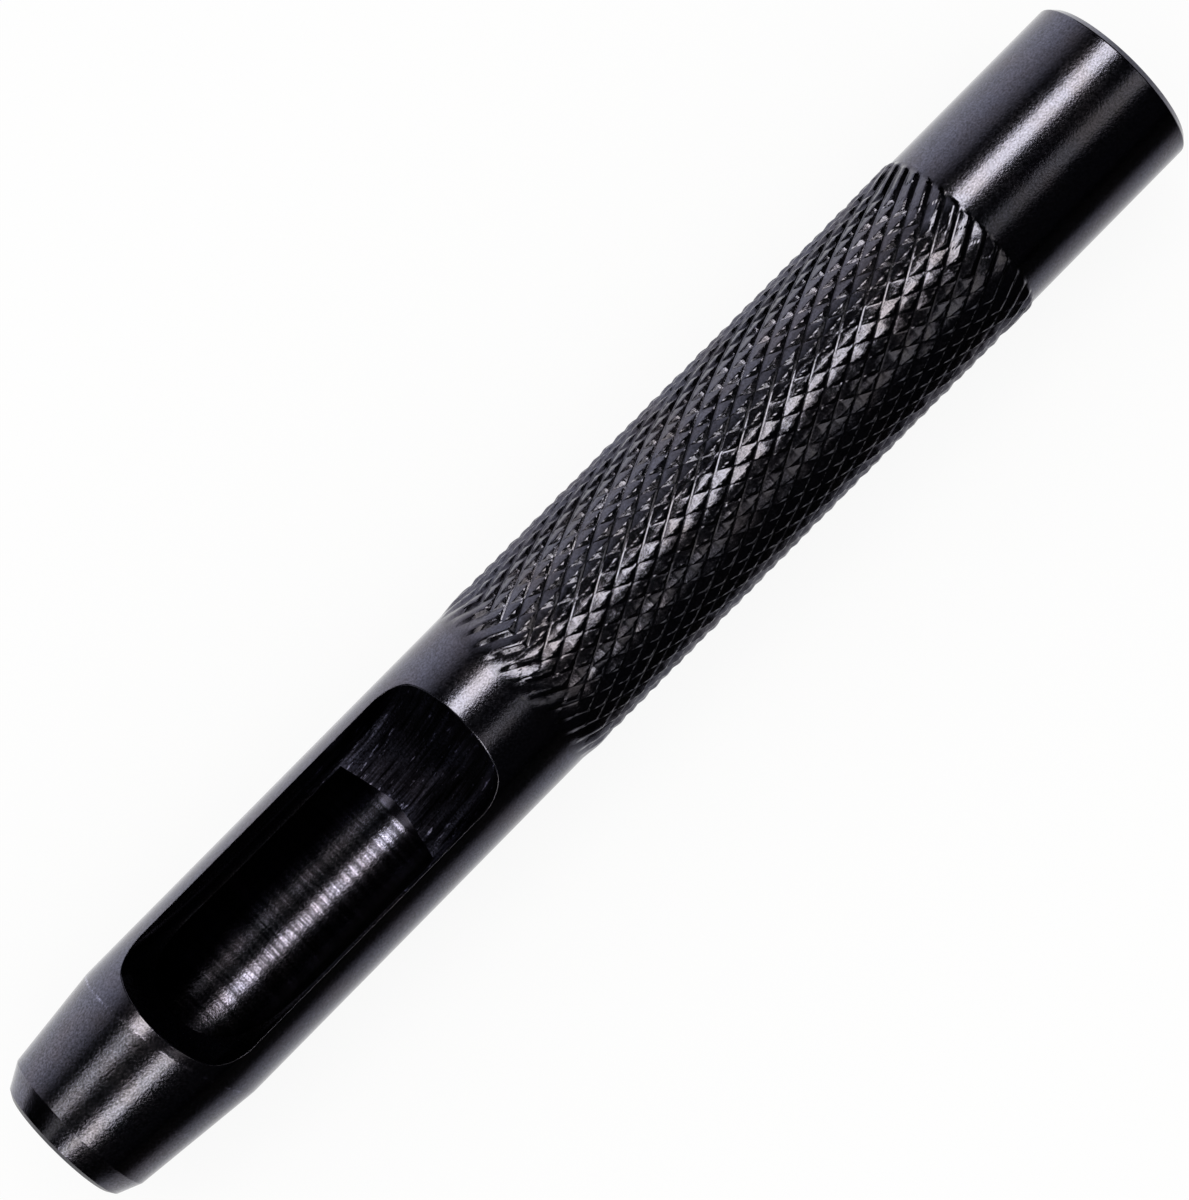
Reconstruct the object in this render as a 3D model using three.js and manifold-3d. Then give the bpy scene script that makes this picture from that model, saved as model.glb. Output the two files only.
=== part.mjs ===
// Hollow punch: a hand tool turned from one round steel bar. A thin round edge cuts discs out of leather or
// gasket sheet, the discs climb the bore, and they leave by a window milled in the side of the barrel.
// The punch lies along X: cutting edge at -X, striking head at +X, window facing up. Millimetres, +Z up.
import * as THREE from "three";
import { mergeVertices } from "three/addons/utils/BufferGeometryUtils.js";
import Module from "manifold-3d";

const wasm = await Module();
wasm.setup();

// Bore and walls: the bore sets the size of the cut disc, and the walls grow from the edge to the bar.
const boreDiameter = 8;
const edgeWall = 0.1;
const edgeBevelRise = 0.4;
const noseWall = 1.2;
const barrelWall = 2;

// Lengths along the bar, from the cutting edge to the striking face.
const edgeBevelLength = 0.25;
const bevelLength = 1.7;
const coneLength = 6.7;
const collarLength = 0.8;
const windowLength = 25.2;
const neckLength = 3.2;
const gripLength = 39;
const headLength = 13.4;
const headChamfer = 0.4;

// Slug window: a slot with a round-cornered side cutter, sunk to the middle of the bar.
const windowSideClearance = 0.7;
const cutterDiameter = 20;
const cutterCornerRadius = 1.2;
const rampLength = 7;
const boreEndCone = 0.9;

// Diamond knurl: two crossed families of grooves, rolled with two wheels set a little apart.
const knurlPitch = 1;
const knurlHelixDegrees = 30;
const knurlRise = 0.15;
const knurlDepth = 0.24;
const knurlStagger = 2.1;
const knurlFade = 0.4;

// How finely round surfaces are divided.
const turnSegments = 72;
const cornerSegments = 4;
const arcSegments = 20;

// Radii
const boreRadius = boreDiameter / 2;
const edgeRadius = boreRadius + edgeWall;
const noseRadius = boreRadius + noseWall;
const barRadius = boreRadius + barrelWall;
const crestRadius = barRadius + knurlRise;
const rootRadius = crestRadius - knurlDepth;

// Stations along the bar, measured from the cutting edge
const bevelEnd = bevelLength;
const shoulder = bevelEnd + coneLength;
const windowStart = shoulder + collarLength;
const windowEnd = windowStart + windowLength;
const gripStart = windowEnd + neckLength;
const gripEnd = gripStart + gripLength;
const strikingFace = gripEnd + headLength;
const boreEnd = windowEnd - rampLength;

// Black oxide on steel: the ground bevel is a little brighter, the knurl a little duller.
const turnedSteel = new THREE.MeshStandardMaterial({ color: 0x1b1b1f, roughness: 0.36, metalness: 0.85 });
const groundSteel = new THREE.MeshStandardMaterial({ color: 0x26262b, roughness: 0.3, metalness: 0.9 });
const knurledSteel = new THREE.MeshStandardMaterial({ color: 0x17171a, roughness: 0.42, metalness: 0.85 });

// A solid turned about X. The profile lists station and radius, from axis to axis or back to its start.
function turned(profile) {
  const points = profile.map(([station, radius]) => new THREE.Vector2(radius, station));
  return new THREE.LatheGeometry(points, turnSegments).rotateZ(-Math.PI / 2);
}

// A closed geometry as a solid that can be cut.
function solid(geometry) {
  const bare = geometry.clone();
  bare.deleteAttribute("normal");
  bare.deleteAttribute("uv");
  const merged = mergeVertices(bare);
  const vertProperties = Float32Array.from(merged.attributes.position.array);
  const triVerts = Uint32Array.from(merged.index.array);
  return new wasm.Manifold(new wasm.Mesh({ numProp: 3, vertProperties, triVerts }));
}

// A cut solid as a geometry again.
function geometryOf(cutSolid) {
  const { vertProperties, triVerts } = cutSolid.getMesh();
  return meshGeometry(vertProperties, triVerts);
}

function meshGeometry(positions, indices) {
  const geometry = new THREE.BufferGeometry();
  geometry.setAttribute("position", new THREE.BufferAttribute(Float32Array.from(positions), 3));
  geometry.setIndex([...indices]);
  geometry.computeVertexNormals();
  return geometry;
}

// Sharp rim with a short steep bevel, and the long ground bevel behind it
function cuttingEdge() {
  return turned([
    [0, boreRadius],
    [0, edgeRadius],
    [edgeBevelLength, edgeRadius + edgeBevelRise],
    [bevelEnd, noseRadius],
    [bevelEnd, boreRadius],
    [0, boreRadius],
  ]);
}

// Slow cone from the bevel up to the full bar
function taperedNose() {
  return turned([
    [bevelEnd, boreRadius],
    [bevelEnd, noseRadius],
    [shoulder, barRadius],
    [shoulder, boreRadius],
    [bevelEnd, boreRadius],
  ]);
}

// What the side cutter sweeps: its round rim sinks to the axis, runs along the bar and lifts out again.
function windowCutter() {
  const cutterRadius = cutterDiameter / 2;
  const width = boreDiameter + 2 * windowSideClearance;
  const halfChord = Math.sqrt(cutterRadius ** 2 - (cutterRadius - barRadius) ** 2);
  const firstCentre = windowStart + halfChord;
  const lastCentre = windowEnd - halfChord;
  const flankRadius = cutterRadius - cutterCornerRadius;
  const sweep = new THREE.Shape();
  sweep.absarc(firstCentre, cutterRadius, flankRadius, Math.PI / 2, Math.PI * 1.5);
  sweep.absarc(lastCentre, cutterRadius, flankRadius, -Math.PI / 2, Math.PI / 2);
  const cutter = new THREE.ExtrudeGeometry(sweep, {
    depth: width - 2 * cutterCornerRadius,
    bevelSize: cutterCornerRadius,
    bevelThickness: cutterCornerRadius,
    bevelSegments: cornerSegments,
    curveSegments: arcSegments,
  });
  cutter.translate(0, 0, cutterCornerRadius - width / 2);
  return cutter.rotateX(Math.PI / 2);
}

// Barrel with the blind end of the bore, opened from above by the window
function windowBarrel() {
  const barrel = turned([
    [boreEnd + boreEndCone, 0],
    [boreEnd, boreRadius],
    [shoulder, boreRadius],
    [shoulder, barRadius],
    [gripStart, barRadius],
    [gripStart, 0],
  ]);
  return geometryOf(solid(barrel).subtract(solid(windowCutter())));
}

// Knurled stretch: a lattice of half steps whose points are pits and peaks by turns. Where both families of
// grooves cross, each square is folded from pit to pit and the peaks stand as pyramids. The two wheels don't
// start and stop together, so a band at each end has the grooves of one family only, and there every square
// is folded the same way and the grooves run straight.
function knurledGrip() {
  const helix = THREE.MathUtils.degToRad(knurlHelixDegrees);
  const teeth = Math.round((2 * Math.PI * barRadius * Math.cos(helix)) / knurlPitch);
  const columns = 2 * teeth;
  const latticeLength = gripLength - 2 * knurlFade;
  const rows = Math.round((latticeLength * 2 * Math.sin(helix)) / knurlPitch);
  const rowStep = latticeLength / rows;
  const bandRows = Math.round(knurlStagger / rowStep);
  const positions = [];
  const indices = [];

  const addRing = (station, radiusAt) => {
    for (let column = 0; column < columns; column += 1) {
      const angle = (2 * Math.PI * column) / columns;
      const radius = radiusAt(column);
      positions.push(station, radius * Math.sin(angle), radius * Math.cos(angle));
    }
  };
  const vertex = (row, column) => row * columns + (column % columns);

  addRing(gripStart, () => barRadius);
  for (let row = 0; row <= rows; row += 1) {
    const station = gripStart + knurlFade + row * rowStep;
    addRing(station, (column) => ((row + column) % 2 === 0 ? rootRadius : crestRadius));
  }
  addRing(gripEnd, () => barRadius);

  const lastRing = rows + 2;
  for (let ring = 0; ring < lastRing; ring += 1) {
    for (let column = 0; column < columns; column += 1) {
      const a = vertex(ring, column);
      const b = vertex(ring, column + 1);
      const c = vertex(ring + 1, column + 1);
      const d = vertex(ring + 1, column);
      const pitFirst = (ring - 1 + column) % 2 === 0;
      const fallsOnly = ring <= bandRows;
      const risesOnly = ring >= lastRing - 1 - bandRows;
      const foldRises = risesOnly || (pitFirst && !fallsOnly);
      if (foldRises) {
        indices.push(a, c, b, a, d, c);
      } else {
        indices.push(a, d, b, b, d, c);
      }
    }
  }

  const startCentre = positions.length / 3;
  positions.push(gripStart, 0, 0);
  const endCentre = startCentre + 1;
  positions.push(gripEnd, 0, 0);
  for (let column = 0; column < columns; column += 1) {
    indices.push(startCentre, vertex(0, column), vertex(0, column + 1));
    indices.push(endCentre, vertex(lastRing, column + 1), vertex(lastRing, column));
  }
  return meshGeometry(positions, indices);
}

// Plain head with a chamfered rim round the flat striking face
function strikingHead() {
  return turned([
    [gripEnd, 0],
    [gripEnd, barRadius],
    [strikingFace - headChamfer, barRadius],
    [strikingFace, barRadius - headChamfer],
    [strikingFace, 0],
  ]);
}

function piece(name, geometry, material) {
  const mesh = new THREE.Mesh(geometry, material);
  mesh.name = name;
  return mesh;
}

// The punch lies on the crests of its knurl, with the middle of its length over the origin.
const punch = new THREE.Group();
punch.position.set(-strikingFace / 2, 0, crestRadius);
punch.add(
  piece("cutting_edge", cuttingEdge(), groundSteel),
  piece("tapered_nose", taperedNose(), turnedSteel),
  piece("window_barrel", windowBarrel(), turnedSteel),
  piece("knurled_grip", knurledGrip(), knurledSteel),
  piece("striking_head", strikingHead(), turnedSteel),
);

const hollowPunch = new THREE.Group();
hollowPunch.add(punch);

export default hollowPunch;
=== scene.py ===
"""The hollow punch dressed for its photograph: black steel, diamond knurl, slug window and studio light.

The punch is in millimetres: stations along the bar are counted from the cutting edge, radii from the bar's
axis, and angles round it from the top towards +Y. Finished points, the stage and the lamps are in metres.
"""

import math
from functools import partial
from types import SimpleNamespace

import bpy
import numpy as np
from mathutils import Matrix, Vector


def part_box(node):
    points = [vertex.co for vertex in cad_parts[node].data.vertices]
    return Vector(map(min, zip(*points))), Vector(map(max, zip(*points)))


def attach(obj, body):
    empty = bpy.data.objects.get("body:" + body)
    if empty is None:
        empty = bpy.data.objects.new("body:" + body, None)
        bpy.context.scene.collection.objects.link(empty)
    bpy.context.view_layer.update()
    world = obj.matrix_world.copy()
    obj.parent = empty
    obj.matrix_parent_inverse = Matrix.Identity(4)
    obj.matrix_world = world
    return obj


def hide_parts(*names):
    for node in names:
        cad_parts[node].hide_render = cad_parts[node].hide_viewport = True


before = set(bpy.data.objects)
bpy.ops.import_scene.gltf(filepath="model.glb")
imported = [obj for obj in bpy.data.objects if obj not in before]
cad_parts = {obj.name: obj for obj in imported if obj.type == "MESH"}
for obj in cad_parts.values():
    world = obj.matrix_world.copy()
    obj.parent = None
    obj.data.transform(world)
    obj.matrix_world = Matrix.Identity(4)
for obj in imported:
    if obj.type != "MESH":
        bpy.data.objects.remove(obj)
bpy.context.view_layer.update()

MM = 0.001

# Stations and radii read from the solids
edge_box = [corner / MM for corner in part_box("cutting_edge")]
nose_box = [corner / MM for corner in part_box("tapered_nose")]
barrel_box = [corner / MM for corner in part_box("window_barrel")]
grip_box = [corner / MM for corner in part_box("knurled_grip")]
head_box = [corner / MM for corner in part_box("striking_head")]
TIP_X = edge_box[0].x
AXIS_Z = (head_box[0].z + head_box[1].z) / 2
BEVEL_END = edge_box[1].x - TIP_X
SHOULDER = nose_box[1].x - TIP_X
GRIP_START = barrel_box[1].x - TIP_X
GRIP_END = grip_box[1].x - TIP_X
STRIKING_FACE = head_box[1].x - TIP_X
NOSE_R = (edge_box[1].z - edge_box[0].z) / 2
BAR_R = (head_box[1].z - head_box[0].z) / 2
CREST_R = (grip_box[1].z - grip_box[0].z) / 2

# Bore and cutting edge
BORE_R = 4.0
EDGE_WALL = 0.1
EDGE_BEVEL_LENGTH = 0.25
EDGE_BEVEL_RISE = 0.4

# The cone was turned a little off centre, so the edge where it meets the bar leans across the punch.
CONE_LEAN = 0.124
CONE_LEAN_ANGLE = math.radians(50)
CONE_OVERRUN = 0.75
CONE_END = SHOULDER + CONE_OVERRUN
CONE_SLOPE = (BAR_R - NOSE_R) / (CONE_END - BEVEL_END)
CONE_EDGE_ROUND = 0.006
CONE_EDGE_SPAN = 0.8
CONE_EDGE_WEAR = 0.12
CONE_EDGE_SHINE = 3.0

# Slug window, milled by a side cutter with rounded corners, and the bore's blunt end below its ramp
COLLAR_LENGTH = 0.8
NECK_LENGTH = 3.2
RAMP_LENGTH = 7.0
WINDOW_START = SHOULDER + COLLAR_LENGTH
WINDOW_END = GRIP_START - NECK_LENGTH
WINDOW_CLEARANCE = 0.7
WINDOW_HALF_WIDTH = BORE_R + WINDOW_CLEARANCE
WINDOW_EDGE_ROUND = 0.07
CUTTER_R = 10.0
CUTTER_CORNER = 1.2
BORE_END = WINDOW_END - RAMP_LENGTH
BORE_END_CONE = 0.9

# Painted shade in the bore: its colour stays full this far to each side of its bottom, then fades to a
# darker painted shade up its sides.
BORE_UNSHADED_HALF_WIDTH = 2.0
BORE_SHADE_FADE = 0.7
BORE_SIDE_PAINTED_SHADE = 0.12

# Outline of the cutter, walked from the middle of its rim over the rounded corner and up its side
FLOOR_HALF = WINDOW_HALF_WIDTH - CUTTER_CORNER
CORNER_ARC = CUTTER_CORNER * math.pi / 2
PROFILE_REACH = FLOOR_HALF + CORNER_ARC + BAR_R

# Head
HEAD_CHAMFER = 0.4
HEAD_EDGE_ROUND = 0.15

# Diamond knurl: each wheel stops a few rows short of one end, and bites in over part of a row.
KNURL_TEETH = 33
KNURL_ROWS = 38
KNURL_FADE = 0.4
KNURL_BAND_ROWS = 2
KNURL_BITE_BEFORE = 0.25
KNURL_BITE_AFTER = 0.1
KNURL_RUN_IN = 1.8
KNURL_DEPTH_FALLING = 0.2
KNURL_DEPTH_RISING = 0.225
KNURL_RIDGE = 1 / 3
KNURL_FLOOR = 0.06
KNURL_WORN_TOP = 0.03

# How the diamonds differ: seed of the draws, spread of their heights, and how much more they lean
KNURL_SEED = 8
KNURL_UNEVENNESS = 0.012
KNURL_LEAN = 4
KNURL_DRAWS = 4 * KNURL_TEETH

# How finely surfaces are divided
COLUMNS = 192
RAMP_STEPS = 60
RUN_STEPS = 18
WALL_STEPS = 36
EDGE_STEPS = 20
ROUND_STEPS = 4
KNURL_STEPS = 6
BORE_EDGE_STEPS = 14
BORE_EDGE_TILT = 0.2
BORE_END_STEPS = 20
BISECTIONS = 60
NO_REACH = 1e-9
WELD_STEP = 1e-5

# Places of the materials in a piece's list
OUTSIDE, BORE, CUT, RAMP = range(4)

# Directions in which tool marks and the ramp's painted glints are drawn out: small numbers stretch them.
ROUND_THE_BAR = (1.0, 0.06, 0.06)
UP_THE_RAMP = (0.06, 1.0, 0.06)
GLINT_STRETCH = (0.25, 1.0, 0.25)

# Stretches of the noise patterns, from 0 to 1, that are spread over a mark's whole range
LINE_RANGE = 0.36, 0.64
# The part of the noise spread over the ramp's painted glints
GLINT_RANGE = 0.62, 0.7
BREAK_RANGE = 0.45, 0.65
SPECKLE_RANGE = 0.3, 0.7
CLOUD_RANGE = 0.4, 0.65
WEAR_RANGE = 0.35, 0.65

# Turns a point on the +Y side into its twin on the -Y side
MIRROR = np.array([1, -1, 1])


# Points, grids and pieces

def polar(station, angle, radius):
    """Points in metres, from stations, angles and radii."""
    station, angle, radius = np.broadcast_arrays(station, angle, radius)
    x = TIP_X + station
    y = radius * np.sin(angle)
    z = AXIS_Z + radius * np.cos(angle)
    return np.stack([x, y, z], axis=-1) * MM


def facing(along, angle, outward):
    """Unit normals from a share along the bar and a share outward."""
    along, angle, outward = np.broadcast_arrays(along, angle, outward)
    normals = np.stack([along, outward * np.sin(angle), outward * np.cos(angle)], axis=-1)
    return unit(normals)


def unit(vectors):
    """The same directions, each with length 1."""
    return vectors / np.linalg.norm(vectors, axis=-1, keepdims=True)


def grid_triangles(rows, columns):
    """Corner numbers of a grid's squares, each cut into two triangles."""
    index = np.arange(rows * columns).reshape(rows, columns)
    a, b, c, d = index[:-1, :-1], index[1:, :-1], index[1:, 1:], index[:-1, 1:]
    return np.concatenate([np.stack([a, b, c], -1).reshape(-1, 3), np.stack([a, c, d], -1).reshape(-1, 3)])


def patch(points, normals, material=OUTSIDE):
    """A grid of points with the normal at each, as one stretch of a piece's surface."""
    points = np.asarray(points, float)
    normals = np.broadcast_to(normals, points.shape)
    triangles = grid_triangles(points.shape[0], points.shape[1])
    return points.reshape(-1, 3), normals.reshape(-1, 3), triangles, material


def welded(patches):
    """All patches joined where their points meet: points, triangles, corner normals and materials."""
    points = np.concatenate([p[0] for p in patches])
    normals = np.concatenate([p[1] for p in patches])
    starts = np.cumsum([0] + [len(p[0]) for p in patches[:-1]])
    corners = np.concatenate([p[2] + start for start, p in zip(starts, patches)])
    materials = np.concatenate([np.full(len(p[2]), p[3]) for p in patches])
    rounded = np.round(points / (MM * WELD_STEP)).astype(np.int64)
    _, first, merged = np.unique(rounded, axis=0, return_index=True, return_inverse=True)
    merged = merged.reshape(-1)
    points = points[first]
    a, b, c = merged[corners].T
    real = (a != b) & (b != c) & (c != a)
    corners, materials = corners[real], materials[real]
    a, b, c = merged[corners].T
    across = np.cross(points[b] - points[a], points[c] - points[a])
    inward = np.einsum("ij,ij->i", across, normals[corners].sum(axis=1)) < 0
    corners[inward] = corners[inward][:, ::-1]
    return points, merged[corners], normals[corners].reshape(-1, 3), materials


def make_piece(name, patches, materials, node):
    """A closed mesh with its own normals, riding on the punch in place of a CAD node."""
    points, faces, corner_normals, face_materials = welded(patches)
    mesh = bpy.data.meshes.new(name)
    mesh.from_pydata(points.tolist(), [], faces.tolist())
    mesh.polygons.foreach_set("material_index", face_materials)
    mesh.polygons.foreach_set("use_smooth", [True] * len(faces))
    mesh.normals_split_custom_set(corner_normals.tolist())
    for material in materials:
        mesh.materials.append(material)
    piece = bpy.data.objects.new(name, mesh)
    bpy.context.scene.collection.objects.link(piece)
    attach(piece, "root")
    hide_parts(node)


def full_turn():
    """Angles of one whole ring, which ends where it starts."""
    angles = np.linspace(0, 2 * math.pi, COLUMNS + 1)
    angles[-1] = 0
    return angles


def ring_patch(stations, radii, along, outward, material=OUTSIDE):
    """Rings round the bar. Each argument is a list over the rings or a grid over rings and angles."""
    angles = full_turn()[None, :]
    columns = [np.asarray(v, float) for v in (stations, radii, along, outward)]
    station, radius, lengthwise, out = (v[:, None] if v.ndim == 1 else v for v in columns)
    return patch(polar(station, angles, radius), facing(lengthwise, angles, out + 0 * angles), material)


# Nose and cutting edge

def past_cone(station, angle):
    """How far the leaning cone would stand outside the bar, negative where it is still inside."""
    return CONE_LEAN * np.cos(angle - CONE_LEAN_ANGLE) + CONE_SLOPE * (station - CONE_END)


def outside_radius(station, angle):
    """Radius of the turned outside: the cone until it meets the bar, with a softened edge between."""
    past = past_cone(station, angle)
    return BAR_R + (past - np.hypot(past, CONE_EDGE_ROUND)) / 2


def outside_slope(station, angle):
    """How fast that radius grows along the bar."""
    past = past_cone(station, angle)
    return CONE_SLOPE * (1 - past / np.hypot(past, CONE_EDGE_ROUND)) / 2


def outside_patch(stations):
    """Whole rings of the turned outside."""
    station, angle = np.asarray(stations)[:, None], full_turn()[None, :]
    return ring_patch(
        station + 0 * angle, outside_radius(station, angle), -outside_slope(station, angle), 0 * angle + 1)


def wall_face(station, along):
    """Flat ring between bore and outside, facing along the bar."""
    outside = outside_radius(station, full_turn())
    return ring_patch([station, station], [BORE_R + 0 * outside, outside], [along, along], [0, 0])


def bore_patch(start, end):
    """Whole rings of the straight bore."""
    return ring_patch([start, end], [BORE_R, BORE_R], [0, 0], [-1, -1], material=BORE)


def cutting_edge_patches():
    """Thin rim with a short steep bevel, and the long ground bevel behind it."""
    edge = BORE_R + EDGE_WALL
    rim = edge + EDGE_BEVEL_RISE
    outside = outside_radius(BEVEL_END, full_turn())
    steep = EDGE_BEVEL_RISE / EDGE_BEVEL_LENGTH
    slope = (NOSE_R - rim) / (BEVEL_END - EDGE_BEVEL_LENGTH)
    land = ring_patch([0, 0], [BORE_R, edge], [-1, -1], [0, 0])
    # The steep bevel wears the milled steel, whose dark colour is painted shade.
    short_bevel = ring_patch([0, EDGE_BEVEL_LENGTH], [edge, rim], [-steep, -steep], [1, 1], material=CUT)
    long_bevel = ring_patch(
        [EDGE_BEVEL_LENGTH, BEVEL_END], [rim + 0 * outside, outside], [-slope, -slope], [1, 1])
    return [land, short_bevel, long_bevel, bore_patch(0, BEVEL_END), wall_face(BEVEL_END, 1)]


def nose_patches():
    """Long cone with the bore through it, with rings close together where it nears the bar."""
    stations = np.append(BEVEL_END, np.linspace(SHOULDER - CONE_EDGE_SPAN, SHOULDER, EDGE_STEPS))
    cone = outside_patch(stations)
    return [cone, wall_face(BEVEL_END, -1), bore_patch(BEVEL_END, SHOULDER), wall_face(SHOULDER, 1)]


# The cut of the slug window

def cutter_profile(reach):
    """Side step, distance from the cutter's axis and normal of the cut, by the way out from its middle."""
    turn = np.clip((reach - FLOOR_HALF) / CUTTER_CORNER, 0, math.pi / 2)
    side = np.minimum(reach, FLOOR_HALF) + CUTTER_CORNER * np.sin(turn)
    lift = np.maximum(reach - FLOOR_HALF - CORNER_ARC, 0)
    distance = CUTTER_R - CUTTER_CORNER + CUTTER_CORNER * np.cos(turn) - lift
    return side, distance, -np.sin(turn), -np.cos(turn)


def cut_surface(centre, tilt, reach):
    """Station, side step and height of points on the cut, and the normals there."""
    side, distance, normal_side, normal_distance = cutter_profile(reach)
    station = centre + distance * np.sin(tilt)
    height = CUTTER_R - distance * np.cos(tilt)
    normal = np.stack(np.broadcast_arrays(
        normal_distance * np.sin(tilt), normal_side, -normal_distance * np.cos(tilt)), axis=-1)
    return station, side + 0 * station, height, normal


def reach_where(outside, count):
    """For each place along the cut, the way out from its middle at which a test turns true."""
    low, high = np.zeros(count), np.full(count, PROFILE_REACH)
    for _ in range(BISECTIONS):
        middle = (low + high) / 2
        beyond = outside(middle)
        high = np.where(beyond, middle, high)
        low = np.where(beyond, low, middle)
    return np.where(high < NO_REACH, 0, high)


def bore_radius(station):
    """The bore is straight, then closes in a blunt cone."""
    return BORE_R * np.minimum(1, 1 - (station - BORE_END) / BORE_END_CONE)


def bore_reach(centres, tilts):
    """Where the cut meets the bore, or 0 where it misses it."""
    def outside(reach):
        station, side, height, _ = cut_surface(centres, tilts, reach)
        return np.hypot(side, height) > bore_radius(station)
    return reach_where(outside, len(centres))


def bar_reach(centres, tilts, radius):
    """Where the cut comes out of a bar of that radius."""
    def outside(reach):
        _, side, height, _ = cut_surface(centres, tilts, reach)
        return np.hypot(side, height) > radius
    return reach_where(outside, len(centres))


def bore_edge(centre, tilt):
    """Station and side step at which the cutter, at one tilt, meets the bore."""
    tilts = np.array([tilt])
    reach = bore_reach(np.array([centre]), tilts)
    station, side, _, _ = cut_surface(centre, tilts, reach)
    return station[0], side[0]


def tilt_where_ends(low, high, lasts):
    """The tilt between two others at which a test stops being true."""
    for _ in range(BISECTIONS):
        middle = (low + high) / 2
        low, high = (middle, high) if lasts(middle) else (low, middle)
    return high


def exit_tilt(radius):
    """Tilt at which the cutter's rim leaves a bar of that radius."""
    return math.acos(1 - radius / CUTTER_R)


def sweep():
    """Cutter centres and tilts along the window, closer together where an edge turns across the bar.

    Three places on the way are counted too: where the cut opens the bore, where the bore starts to close and
    where it ends.
    """
    half_chord = CUTTER_R * math.sin(exit_tilt(BAR_R))
    first, last = WINDOW_START + half_chord, WINDOW_END - half_chord
    leave = exit_tilt(BAR_R - WINDOW_EDGE_ROUND)
    ramp = leave * (1 - np.linspace(0, 1, RAMP_STEPS) ** 2)
    into_bore = exit_tilt(BORE_R) - BORE_EDGE_TILT * np.linspace(0, 1, BORE_EDGE_STEPS) ** 2
    down = np.unique(np.concatenate([ramp, into_bore]))[::-1]
    run = np.linspace(first, last, RUN_STEPS)[1:-1]
    corner = tilt_where_ends(0.0, leave, lambda tilt: bore_edge(last, tilt)[0] < BORE_END)
    closing = tilt_where_ends(corner, leave, lambda tilt: bore_edge(last, tilt)[1] > 0)
    end = corner + (closing - corner) * (1 - np.linspace(1, 0, BORE_END_STEPS) ** 2)
    up = np.unique(np.concatenate([ramp, end]))
    centres = np.concatenate([np.full(len(down), first), run, np.full(len(up), last)])
    tilts = np.concatenate([-down, np.zeros(len(run)), up])
    opening_place = int(np.argmin(np.abs(down - exit_tilt(BORE_R))))
    corner_place, closing_place = len(down) + len(run) + np.searchsorted(up, [corner, closing])
    return centres, tilts, opening_place, corner_place, closing_place


def window_cut():
    """The cut as a grid: rows along the window, and steps from the bore or the middle up to the rounding."""
    centres, tilts, opening, corner, closing = sweep()
    inner_reach = bore_reach(centres, tilts)
    inner_reach[:opening + 1] = 0
    inner_reach[closing:] = 0
    outer_reach = bar_reach(centres, tilts, BAR_R - WINDOW_EDGE_ROUND)
    outer_reach[[0, -1]] = 0
    share = np.linspace(0, 1, WALL_STEPS)[None, :]
    reach = inner_reach[:, None] + (outer_reach - inner_reach)[:, None] * share
    station, side, height, normal = cut_surface(centres[:, None], tilts[:, None], reach)
    points = polar(station, np.arctan2(side, height), np.hypot(side, height))
    return SimpleNamespace(
        centres=centres, tilts=tilts, opening=opening, corner=corner, closing=closing,
        station=station, side=side, height=height, normal=normal, points=points)


def window_edge(cut):
    """Stations and angles of the sharp edge that the rounding stands for, and of its start on the bar."""
    widen = exit_tilt(BAR_R) / exit_tilt(BAR_R - WINDOW_EDGE_ROUND)
    sharp_reach = bar_reach(cut.centres, cut.tilts * widen, BAR_R)
    sharp_reach[[0, -1]] = 0
    sharp_station, sharp_side, sharp_height, _ = cut_surface(cut.centres, cut.tilts * widen, sharp_reach)
    sharp_angle = np.arctan2(sharp_side, sharp_height)
    lengthwise, sideways = np.gradient(sharp_station), np.gradient(BAR_R * sharp_angle)
    lengthwise[[0, -1]], sideways[[0, -1]] = 0, (1, -1)
    size = np.hypot(lengthwise, sideways)
    bar_station = sharp_station - WINDOW_EDGE_ROUND * sideways / size
    bar_angle = sharp_angle + WINDOW_EDGE_ROUND / BAR_R * lengthwise / size
    start = polar(bar_station, bar_angle, outside_radius(bar_station, bar_angle))
    bend = polar(sharp_station, sharp_angle, BAR_R)
    return SimpleNamespace(station=bar_station, angle=bar_angle, start=start, bend=bend)


# Barrel with the slug window

def mirrored(points, normals, material):
    """A patch on the +Y side and its twin on the -Y side."""
    return [patch(points, normals, material), patch(points * MIRROR, normals * MIRROR, material)]


def wall_patches(cut):
    """The cut's walls, and the ramp at its far end."""
    ramp_start = int(np.argmax(cut.tilts >= 0)) + RUN_STEPS - 2
    walls = mirrored(cut.points[:ramp_start + 1], cut.normal[:ramp_start + 1], CUT)
    return walls + mirrored(cut.points[ramp_start:], cut.normal[ramp_start:], RAMP)


def rounding_patches(cut, edge):
    """The rounded edge, which turns from the bar into the cut."""
    end = cut.points[:, -1]
    step = np.linspace(0, 1, ROUND_STEPS + 1)[None, :, None]
    points = (1 - step) ** 2 * edge.start[:, None] + 2 * step * (1 - step) * edge.bend[:, None]
    points = points + step ** 2 * end[:, None]
    points[:, 0], points[:, -1] = edge.start, end
    turning = (1 - step) * facing(0, edge.angle, 1)[:, None] + step * cut.normal[:, -1][:, None]
    return mirrored(points, unit(turning), OUTSIDE)


def bar_round_window(edge):
    """The bar from one edge of the window, round below, to the other edge."""
    station, start = edge.station[:, None], edge.angle[:, None]
    angles = start + (2 * math.pi - 2 * start) * np.linspace(0, 1, COLUMNS + 1)[None, :]
    points = polar(station, angles, outside_radius(station, angles))
    points[:, 0], points[:, -1] = edge.start, edge.start * MIRROR
    return patch(points, facing(-outside_slope(station, angles), angles, 1), OUTSIDE)


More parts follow.
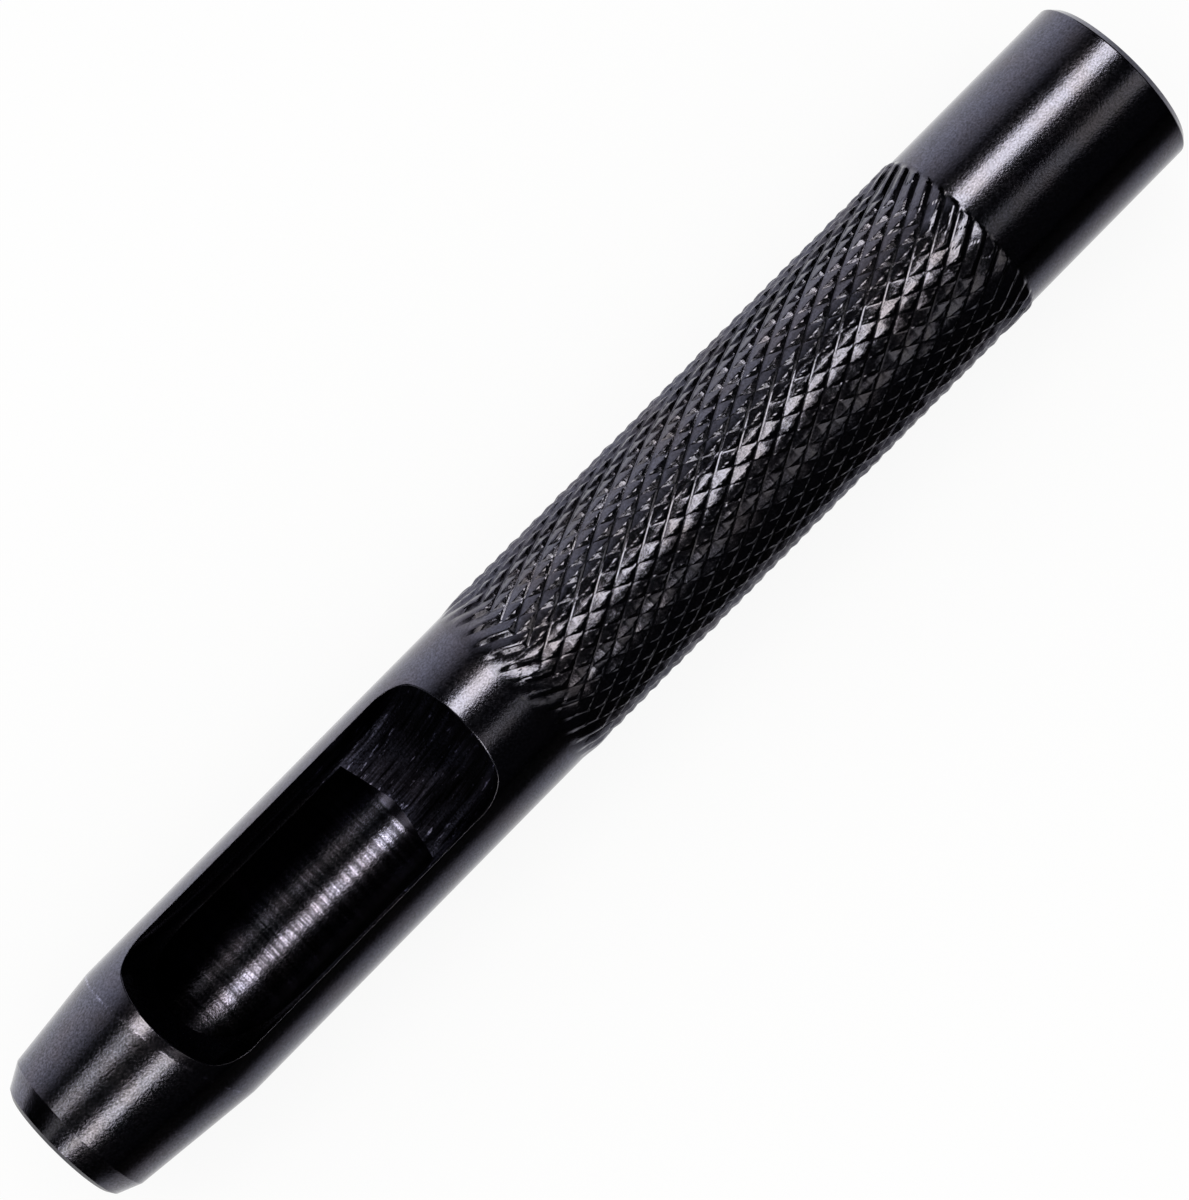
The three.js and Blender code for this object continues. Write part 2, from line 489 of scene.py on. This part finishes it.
def bore_under_window(cut):
    """The open bore below the window, then its blunt end."""
    side, height, start = cut.side[:, 0], cut.height[:, 0], cut.points[:, 0]
    edge = np.arctan2(side, height)[:, None]
    angles = edge + (2 * math.pi - 2 * edge) * np.linspace(0, 1, COLUMNS + 1)[None, :]
    points = polar(cut.station[:, :1], angles, np.hypot(side, height)[:, None])
    points[:, 0], points[:, -1] = start, start * MIRROR
    points[cut.closing, 1:-1] = polar(BORE_END + BORE_END_CONE, 0, 0)
    straight, blunt = slice(cut.opening, cut.corner + 1), slice(cut.corner, cut.closing + 1)
    return [
        patch(points[straight], facing(0, angles[straight], -1), BORE),
        patch(points[blunt], facing(-BORE_R, angles[blunt], -BORE_END_CONE), BORE),
    ]


def barrel_patches():
    """The window with all that touches it, and whole rings before and after it."""
    cut = window_cut()
    edge = window_edge(cut)
    neck = outside_radius(GRIP_START, full_turn())
    return [
        *wall_patches(cut),
        *rounding_patches(cut, edge),
        bar_round_window(edge),
        *bore_under_window(cut),
        wall_face(SHOULDER, -1),
        outside_patch(np.linspace(SHOULDER, edge.station[0], EDGE_STEPS)),
        bore_patch(SHOULDER, cut.station[cut.opening, 0]),
        outside_patch([edge.station[-1], GRIP_START]),
        ring_patch([GRIP_START, GRIP_START], [neck, 0 * neck], [1, 1], [0, 0]),
    ]


# Knurl

def groove(phase, floor_share):
    """1 at the bottom of a groove and 0 on the ridge between two. The flank that faces +Y is the longer."""
    share = phase % 1
    way_up = np.minimum(share / KNURL_RIDGE, (1 - share) / (1 - KNURL_RIDGE))
    return np.clip((1 - way_up) / (1 - floor_share), 0, 1)


def smooth(value, start, end):
    """0 before start and 1 after end, with soft corners."""
    share = np.clip((value - start) / (end - start), 0, 1)
    return share * share * (3 - 2 * share)


def uneven_diamonds(falling, rising):
    """No two diamonds are quite alike: each stands a little lower and leans a little."""
    chance = np.random.default_rng(KNURL_SEED)
    lower, lean_falling, lean_rising = chance.normal(0, KNURL_UNEVENNESS, (3, KNURL_DRAWS, KNURL_DRAWS))
    place = np.floor(falling).astype(int) % KNURL_DRAWS, np.floor(rising).astype(int) % KNURL_DRAWS
    lean = lean_falling[place] * (falling % 1 - 0.5) + lean_rising[place] * (rising % 1 - 0.5)
    return KNURL_LEAN * lean - np.abs(lower[place])


def knurl_lattice():
    """Stations of the knurl's rings, with rows and columns counted in half diamonds."""
    start, end = GRIP_START + KNURL_FADE, GRIP_END - KNURL_FADE
    row_step = (end - start) / KNURL_ROWS
    fade_rows = math.ceil(KNURL_FADE / (row_step / KNURL_STEPS))
    fade = np.linspace(0, KNURL_FADE, fade_rows + 1)[:-1]
    middle = np.linspace(start, end, KNURL_ROWS * KNURL_STEPS + 1)
    stations = np.concatenate([GRIP_START + fade, middle, GRIP_END - fade[::-1]])
    row = ((stations - start) / row_step)[:, None]
    column = (np.arange(2 * KNURL_TEETH * KNURL_STEPS) / KNURL_STEPS)[None, :]
    return stations, row, column


def knurl_radius(stations, row, column):
    """Radius over the lattice, and where the rising grooves cut deeper than the falling ones."""
    falling, rising = (column + row) / 2, (column - row) / 2
    first, last = KNURL_BAND_ROWS, KNURL_ROWS - KNURL_BAND_ROWS
    rising_on = smooth(row, first - KNURL_BITE_BEFORE, first + KNURL_BITE_AFTER)
    falling_on = 1 - smooth(row, last - KNURL_BITE_AFTER, last + KNURL_BITE_BEFORE)
    drop_falling = KNURL_DEPTH_FALLING * groove(falling, 0) * falling_on
    drop_rising = KNURL_DEPTH_RISING * groove(rising, KNURL_FLOOR) * rising_on
    drop = np.maximum(np.maximum(drop_falling, drop_rising) - KNURL_WORN_TOP, 0)
    lift = uneven_diamonds(falling, rising) * (1 - np.clip(drop / KNURL_DEPTH_FALLING, 0, 1))
    run_in = smooth(stations, GRIP_START, GRIP_START + KNURL_RUN_IN)
    ends = run_in * (1 - smooth(stations, GRIP_END - KNURL_FADE, GRIP_END))
    radius = BAR_R + (np.minimum(CREST_R, CREST_R - drop + lift) - BAR_R) * ends[:, None]
    return radius, drop_rising > drop_falling


def facet_normals(corners):
    """Normals at the corners of facets, from stations, angles and radii, so that ridges stay crisp."""
    tilt = np.cross(corners[:, 1] - corners[:, 0], corners[:, 2] - corners[:, 0])
    tilt = (tilt / tilt[:, 2:])[:, None]
    angle = corners[..., 1]
    turn = tilt[..., 1] / corners[..., 2]
    normals = np.stack([
        tilt[..., 0] + 0 * angle,
        np.sin(angle) + turn * np.cos(angle),
        np.cos(angle) - turn * np.sin(angle)], axis=-1)
    return unit(normals)


def folded_triangles(rising_cuts):
    """Triangles of the lattice, with each square folded along the groove that cuts it."""
    rows, columns = rising_cuts.shape[0], rising_cuts.shape[1] + 1
    index = np.arange(rows * columns).reshape(rows, columns)
    a, b, c, d = index[:-1, :-1], index[:-1, 1:], index[1:, 1:], index[1:, :-1]
    rises = rising_cuts[:-1, :, None]
    first = np.where(rises, np.stack([a, c, b], -1), np.stack([a, d, b], -1))
    second = np.where(rises, np.stack([a, d, c], -1), np.stack([b, d, c], -1))
    return np.concatenate([first.reshape(-1, 3), second.reshape(-1, 3)])


def knurl_cap(ring, station, direction):
    """The flat end of the knurled stretch."""
    centre = polar(np.full(ring.shape[0], station), 0, 0)
    return patch(np.stack([ring, centre]), np.array([direction, 0, 0]))


def knurl_patches():
    """The knurl's skin, in which every triangle has its own corners, and its two ends."""
    stations, row, column = knurl_lattice()
    radius, rising_cuts = knurl_radius(stations, row, column)
    angle = column * math.pi / KNURL_TEETH
    around = np.concatenate([radius, radius[:, :1]], axis=1)
    points = polar(stations[:, None], np.concatenate([angle, angle[:, :1]], axis=1), around)
    angles = np.concatenate([angle, angle[:, :1] + 2 * math.pi], axis=1)
    unrolled = np.stack(np.broadcast_arrays(stations[:, None], angles, around), axis=-1)
    triangles = folded_triangles(rising_cuts)
    normals = facet_normals(unrolled.reshape(-1, 3)[triangles])
    own_corners = np.arange(triangles.size).reshape(-1, 3)
    skin = (points.reshape(-1, 3)[triangles].reshape(-1, 3), normals.reshape(-1, 3), own_corners, OUTSIDE)
    return [skin, knurl_cap(points[0], GRIP_START, -1.0), knurl_cap(points[-1], GRIP_END, 1.0)]


# Head

def rounded_profile(corners):
    """Stations, radii and normals of a turned outline whose corners give station, radius and rounding."""
    places = np.array([corner[:2] for corner in corners], float)
    runs = unit(np.diff(places, axis=0))
    normals = np.stack([-runs[:, 1], runs[:, 0]], axis=1)
    outline = [(*places[0], *normals[0])]
    for number in range(1, len(corners) - 1):
        before, after = normals[number - 1], normals[number]
        size = corners[number][2]
        half_turn = math.acos(np.clip(before @ after, -1, 1)) / 2
        centre = places[number] - size * math.tan(half_turn) * runs[number - 1] - size * before
        for step in np.linspace(0, 1, ROUND_STEPS + 1):
            normal = before * math.sin((1 - step) * 2 * half_turn) + after * math.sin(step * 2 * half_turn)
            normal = unit(normal)
            outline.append((*(centre + size * normal), *normal))
    outline.append((*places[-1], *normals[-1]))
    return np.array(outline).T


def head_patches():
    """Plain head with a chamfered rim round the flat striking face."""
    corners = [
        (GRIP_END, 0, 0),
        (GRIP_END, BAR_R, 0),
        (STRIKING_FACE - HEAD_CHAMFER, BAR_R, HEAD_EDGE_ROUND),
        (STRIKING_FACE, BAR_R - HEAD_CHAMFER, HEAD_EDGE_ROUND),
        (STRIKING_FACE, 0, 0),
    ]
    return [ring_patch(*rounded_profile(corners))]


# Nodes

def add_node(tree, kind, inputs=None, **settings):
    """A new node. Inputs are values or the output sockets to link."""
    node = tree.nodes.new(kind)
    for name, value in settings.items():
        setattr(node, name, value)
    for name, value in (inputs or {}).items():
        if isinstance(value, bpy.types.NodeSocket):
            tree.links.new(value, node.inputs[name])
        else:
            node.inputs[name].default_value = value
    return node


def calculate(tree, operation, *values):
    """The output of a Math node."""
    return add_node(tree, "ShaderNodeMath", dict(enumerate(values)), operation=operation).outputs[0]


def noise(tree, vector, scale, detail, roughness):
    """The grey output of a noise pattern, with scale in waves per millimetre."""
    inputs = {"Vector": vector, "Scale": scale, "Detail": detail, "Roughness": roughness}
    return add_node(tree, "ShaderNodeTexNoise", inputs).outputs["Fac"]


def spread(tree, value, low, high, to_low, to_high):
    """A value moved from one range to another."""
    inputs = {"Value": value, "From Min": low, "From Max": high, "To Min": to_low, "To Max": to_high}
    return add_node(tree, "ShaderNodeMapRange", inputs).outputs["Result"]


# Tool marks, wear and painted shade, each a tone that multiplies the colour

def lines(tree, place, stretch, scale, floor, top, noise_range=LINE_RANGE):
    """Uneven lines between a floor and a top, reached at the two ends of the noise range."""
    drawn_out = add_node(tree, "ShaderNodeMapping", {"Vector": place, "Scale": stretch}).outputs["Vector"]
    pattern = noise(tree, drawn_out, scale, detail=3.0, roughness=0.6)
    return spread(tree, pattern, *noise_range, floor, top)


def worn_cone_edge(tree, place):
    """A thin broken bright line where the leaning cone meets the bar."""
    lean = CONE_LEAN / BAR_R
    across = Vector((CONE_SLOPE, lean * math.sin(CONE_LEAN_ANGLE), lean * math.cos(CONE_LEAN_ANGLE)))
    middle = Vector((TIP_X + CONE_END, 0, AXIS_Z))
    past = add_node(tree, "ShaderNodeVectorMath", {0: place, 1: across}, operation="DOT_PRODUCT")
    past = calculate(tree, "SUBTRACT", past.outputs["Value"], across.dot(middle))
    line = spread(tree, calculate(tree, "ABSOLUTE", past), 0, CONE_SLOPE * CONE_EDGE_WEAR, 1, 0)
    breaks = noise(tree, place, scale=1.5, detail=3.0, roughness=0.7)
    shine = spread(tree, breaks, *BREAK_RANGE, 0, CONE_EDGE_SHINE)
    return calculate(tree, "MULTIPLY_ADD", line, shine, 1)


def painted_bore_side_shade(tree, place):
    """Painted shade: keeps the bore's colour full along its bottom and darkens it up its sides."""
    sideways = add_node(tree, "ShaderNodeSeparateXYZ", {0: place}).outputs["Y"]
    aside = calculate(tree, "ABSOLUTE", sideways)
    return spread(tree, aside, BORE_UNSHADED_HALF_WIDTH, BORE_UNSHADED_HALF_WIDTH + BORE_SHADE_FADE, 1, BORE_SIDE_PAINTED_SHADE)


# Steels

def black_steel(name, color, roughness, grain, speckles, marks=(), oil=0.4):
    """Black oxide on steel: a dark metal with a speckled grain, a brownish cast in places and a film of oil.

    Grain is the height of the speckles in millimetres, and speckles is how much their tone varies.
    """
    oil_roughness, brown_cast = 0.12, (1.03, 0.95, 0.88)
    roughness_spread, cloud_wear, speckle_wear = 0.05, 0.4, 0.6
    material = bpy.data.materials.new(name)
    material.use_nodes = True
    tree = material.node_tree
    shader = tree.nodes["Principled BSDF"]
    shader.inputs["Metallic"].default_value = 1.0
    shader.inputs["Coat Weight"].default_value = oil
    shader.inputs["Coat Roughness"].default_value = oil_roughness
    place = add_node(tree, "ShaderNodeTexCoord").outputs["Object"]
    place = add_node(tree, "ShaderNodeMapping", {"Vector": place, "Scale": (1 / MM,) * 3}).outputs["Vector"]
    speckle = noise(tree, place, scale=7.0, detail=2.0, roughness=0.7)
    cloud = noise(tree, place, scale=0.35, detail=3.0, roughness=0.5)

    tone = spread(tree, speckle, *SPECKLE_RANGE, 1 - speckles, 1 + speckles)
    for mark in marks:
        tone = calculate(tree, "MULTIPLY", tone, mark(tree, place))
    tint = add_node(tree, "ShaderNodeMix", data_type="RGBA")
    tree.links.new(spread(tree, cloud, *CLOUD_RANGE, 0, 1), tint.inputs["Factor"])
    tint.inputs["A"].default_value = (*color, 1)
    tint.inputs["B"].default_value = (*np.multiply(color, brown_cast), 1)
    shade = {0: tint.outputs["Result"], "Scale": tone}
    shade = add_node(tree, "ShaderNodeVectorMath", shade, operation="SCALE").outputs["Vector"]
    tree.links.new(shade, shader.inputs["Base Color"])

    wear = calculate(tree, "MULTIPLY", speckle, speckle_wear)
    wear = calculate(tree, "MULTIPLY_ADD", cloud, cloud_wear, wear)
    rough = spread(tree, wear, *WEAR_RANGE, roughness - roughness_spread, roughness + roughness_spread)
    tree.links.new(rough, shader.inputs["Roughness"])
    height = calculate(tree, "MULTIPLY", speckle, grain)
    bump = add_node(tree, "ShaderNodeBump", {"Height": height, "Distance": MM})
    tree.links.new(bump.outputs["Normal"], shader.inputs["Normal"])
    return material


def turned_steel():
    return black_steel(
        "turned_black_steel", color=(0.098, 0.098, 0.142), roughness=0.16, grain=0.01, speckles=0.5,
        marks=[worn_cone_edge])


def nose_steel():
    return black_steel(
        "nose_black_steel", color=(0.1, 0.1, 0.142), roughness=0.16, grain=0.013, speckles=0.65,
        marks=[worn_cone_edge])


def ground_steel():
    return black_steel(
        "ground_black_steel", color=(0.1, 0.1, 0.142), roughness=0.17, grain=0.013, speckles=0.65)


# The bore's steel has real ring marks from the drill and painted shade up its sides.
def bored_steel():
    coarse = partial(lines, stretch=ROUND_THE_BAR, scale=1.4, floor=0.55, top=1.45)
    fine = partial(lines, stretch=ROUND_THE_BAR, scale=4.5, floor=0.5, top=1.7)
    return black_steel(
        "bored_black_steel_painted_side_shade", color=(0.085, 0.084, 0.124), roughness=0.17, grain=0.014, speckles=0.6,
        marks=[painted_bore_side_shade, coarse, fine], oil=0)


# Painted shade: the window's walls and the steep bevel of the cutting edge get a colour about five times
# darker than the other black steel.
def shaded_milled_steel():
    return black_steel(
        "milled_black_steel_painted_shade", color=(0.02, 0.02, 0.029), roughness=0.26, grain=0.01, speckles=0.5, oil=0)


# Painted shade and painted glints: the ramp's colour is far darker than the other black steel, its streaks
# are real tool marks, and sparse bright dashes up to sixteen times its colour are painted glints.
def shaded_ramp_steel():
    fine = partial(lines, stretch=UP_THE_RAMP, scale=5.0, floor=0.1, top=2.2)
    coarse = partial(lines, stretch=UP_THE_RAMP, scale=1.6, floor=0.2, top=2.0)
    painted_glints = partial(lines, stretch=GLINT_STRETCH, scale=3.5, floor=1, top=16, noise_range=GLINT_RANGE)
    return black_steel(
        "ramp_steel_painted_shade_and_glints", color=(0.012, 0.0122, 0.021), roughness=0.3, grain=0.03, speckles=0.7,
        marks=[fine, coarse, painted_glints], oil=0)


def knurled_steel():
    return black_steel(
        "knurled_black_steel", color=(0.082, 0.082, 0.118), roughness=0.16, grain=0.01, speckles=0.4)


# Stage, light and camera

def reflected_glow(tree, place):
    """How bright the paper is in reflections: dimmer on the unlit side, past both ends and up the wall."""
    unlit, lit = -0.025, -0.002
    end_slant, end_near, end_far = 0.5, 0.06, 0.12
    floor_glow, dark_height = 0.95, 1.55
    slanted = calculate(tree, "MULTIPLY", place["Y"], end_slant)
    past_tip = calculate(tree, "ADD", place["X"], slanted)
    past_head = calculate(tree, "SUBTRACT", place["X"], slanted)
    glow = spread(tree, place["Y"], unlit, lit, 0, 1)
    for share in (
        spread(tree, past_tip, -end_far, -end_near, 0, 1),
        spread(tree, past_head, end_near, end_far, 1, 0),
        spread(tree, place["Z"], 0, dark_height, floor_glow, 0),
    ):
        glow = calculate(tree, "MULTIPLY", glow, share)
    return glow


def pale_paper():
    """Paper that the camera sees as white, with a soft shadow where the punch hides the room from it."""
    shadow_reach, shadow_level = 0.03, 0.92
    paper_white, glow_share = (0.9, 0.9, 0.9, 1), 0.98
    material = bpy.data.materials.new("pale_paper")
    material.use_nodes = True
    tree = material.node_tree
    tree.nodes.clear()
    place = add_node(tree, "ShaderNodeTexCoord").outputs["Object"]
    place = add_node(tree, "ShaderNodeSeparateXYZ", {0: place}).outputs
    path = add_node(tree, "ShaderNodeLightPath").outputs
    open_room = add_node(tree, "ShaderNodeAmbientOcclusion", {"Distance": shadow_reach}, samples=4)
    white = spread(tree, open_room.outputs["AO"], 0, 1, shadow_level, 1)
    level = spread(tree, path["Is Camera Ray"], 0, 1, reflected_glow(tree, place), white)
    glow = add_node(tree, "ShaderNodeEmission", {"Color": (1, 1, 1, 1), "Strength": level})
    lit = add_node(tree, "ShaderNodeBsdfDiffuse", {"Color": paper_white})
    seen = calculate(tree, "MAXIMUM", path["Is Camera Ray"], path["Is Glossy Ray"])
    seen = calculate(tree, "MAXIMUM", seen, path["Is Transmission Ray"])
    share = calculate(tree, "MULTIPLY", seen, glow_share)
    mix = add_node(tree, "ShaderNodeMixShader", {0: share, 1: lit.outputs[0], 2: glow.outputs[0]})
    output = add_node(tree, "ShaderNodeOutputMaterial")
    tree.links.new(mix.outputs[0], output.inputs["Surface"])
    return material


def pale_stage():
    """A pale floor that turns up into a low wall, higher on the far side, as a paper sweep does."""
    floor_radius, inner_radius, bend = 1.6, 0.3, 0.25
    low_wall, high_wall, wall_rise, least_wall = 0.16, 1.6, 0.5, 0.01
    sides, bend_steps = 64, 8
    angles = np.linspace(0, 2 * math.pi, sides + 1)
    wall = low_wall + (high_wall - low_wall) * np.clip(np.sin(angles), 0, 1) ** wall_rise
    turn = np.linspace(0, math.pi / 2, bend_steps + 1)
    radii = np.concatenate([[0, inner_radius], floor_radius + bend * np.sin(turn), [floor_radius + bend]])
    rise = np.concatenate([[0, 0], 1 - np.cos(turn), [1]])
    heights = rise[:, None] * np.minimum(bend, wall)[None, :]
    heights[-1] = np.maximum(wall, heights[-2] + least_wall)
    points = np.stack([
        radii[:, None] * np.cos(angles), radii[:, None] * np.sin(angles), heights], axis=-1)
    mesh = bpy.data.meshes.new("paper_sweep")
    mesh.from_pydata(points.reshape(-1, 3).tolist(), [], grid_triangles(*points.shape[:2]).tolist())
    mesh.polygons.foreach_set("use_smooth", [True] * len(mesh.polygons))
    mesh.materials.append(pale_paper())
    stage = bpy.data.objects.new("paper_sweep", mesh)
    bpy.context.scene.collection.objects.link(stage)


def strip_softbox(name, lean, start, end, width, radiance):
    """A long lamp over the punch, from start to end along it. Its lean and width are in degrees."""
    distance, warm_white, watts_per_radiance = 0.6, (1, 0.97, 0.82), 4
    way = Vector((0, math.sin(math.radians(lean)), math.cos(math.radians(lean))))
    along = Vector((1, 0, 0))
    lamp = bpy.data.lights.new(name, "AREA")
    lamp.color = warm_white
    lamp.shape = "RECTANGLE"
    lamp.size = end - start
    lamp.size_y = 2 * distance * math.tan(math.radians(width / 2))
    lamp.energy = watts_per_radiance * radiance * lamp.size * lamp.size_y
    turn = Matrix((along, way.cross(along), way)).transposed().to_4x4()
    stand = bpy.data.objects.new(name, lamp)
    stand.matrix_world = Matrix.Translation(way * distance + along * (start + end) / 2) @ turn
    bpy.context.scene.collection.objects.link(stand)


def studio_light():
    """Two rows of softboxes, one on each side of the punch, in a dark room."""
    room_color, room_level = (0.5, 0.5, 0.55, 1), 0.02
    strip_softbox("main_softbox", lean=19, start=-0.15, end=0.32, width=17, radiance=4.7)
    strip_softbox("main_spill", lean=22, start=-0.45, end=-0.15, width=17, radiance=1.2)
    strip_softbox("far_spill", lean=22, start=-1.3, end=-0.45, width=17, radiance=0.4)
    strip_softbox("second_softbox", lean=-28, start=-1.3, end=-0.19, width=15, radiance=3.6)
    strip_softbox("bore_spill", lean=-30, start=-0.07, end=-0.035, width=11, radiance=1.4)
    strip_softbox("second_spill", lean=-31, start=-0.03, end=0.19, width=15, radiance=0.18)
    strip_softbox("end_spill", lean=-30, start=0.19, end=0.45, width=17, radiance=0.6)
    world = bpy.data.worlds.new("dark_studio")
    world.use_nodes = True
    world.node_tree.nodes["Background"].inputs["Color"].default_value = room_color
    world.node_tree.nodes["Background"].inputs["Strength"].default_value = room_level
    bpy.context.scene.world = world


def photo_camera():
    """A camera above the punch, rolled so that the bar runs from lower left to upper right."""
    image_height, focal_pixels, sensor = 1200, 3530, 36
    distance, lean_x, lean_y, bar_slant = 211.75, -3.25, -9.6, 45.32
    aim_right, aim_up = -0.02, 0.215
    nearest, farthest = 0.01, 20
    back = Vector((math.sin(math.radians(lean_x)), math.sin(math.radians(lean_y)), 0))
    back.z = math.sqrt(1 - back.length_squared)
    bar = Vector((1, 0, 0))
    bar = (bar - bar.dot(back) * back).normalized()
    across = back.cross(bar)
    slant = math.radians(bar_slant)
    right = math.cos(slant) * bar - math.sin(slant) * across
    up = math.sin(slant) * bar + math.cos(slant) * across
    data = bpy.data.cameras.new("photo_camera")
    data.sensor_width = sensor
    data.lens = focal_pixels * sensor / image_height
    data.clip_start, data.clip_end = nearest, farthest
    camera = bpy.data.objects.new("photo_camera", data)
    turn = Matrix((right, up, back)).transposed().to_4x4()
    place = Vector((0, 0, AXIS_Z)) + distance * back + aim_right * right + aim_up * up
    camera.matrix_world = Matrix.Translation(place * MM) @ turn
    bpy.context.scene.collection.objects.link(camera)
    bpy.context.scene.camera = camera


# The milled steel's dark colour is painted shade on the window's walls and the steep bevel.
turned, bored, shaded_milled = turned_steel(), bored_steel(), shaded_milled_steel()
make_piece(
    "ground_cutting_edge", cutting_edge_patches(), [ground_steel(), bored, shaded_milled],
    "cutting_edge")
make_piece("turned_nose", nose_patches(), [nose_steel(), bored], "tapered_nose")
make_piece(
    "barrel_with_window", barrel_patches(), [turned, bored, shaded_milled, shaded_ramp_steel()],
    "window_barrel")
make_piece("diamond_knurl", knurl_patches(), [knurled_steel()], "knurled_grip")
make_piece("plain_head", head_patches(), [turned], "striking_head")

pale_stage()
studio_light()
photo_camera()
bpy.context.scene.view_settings.view_transform = "Standard"
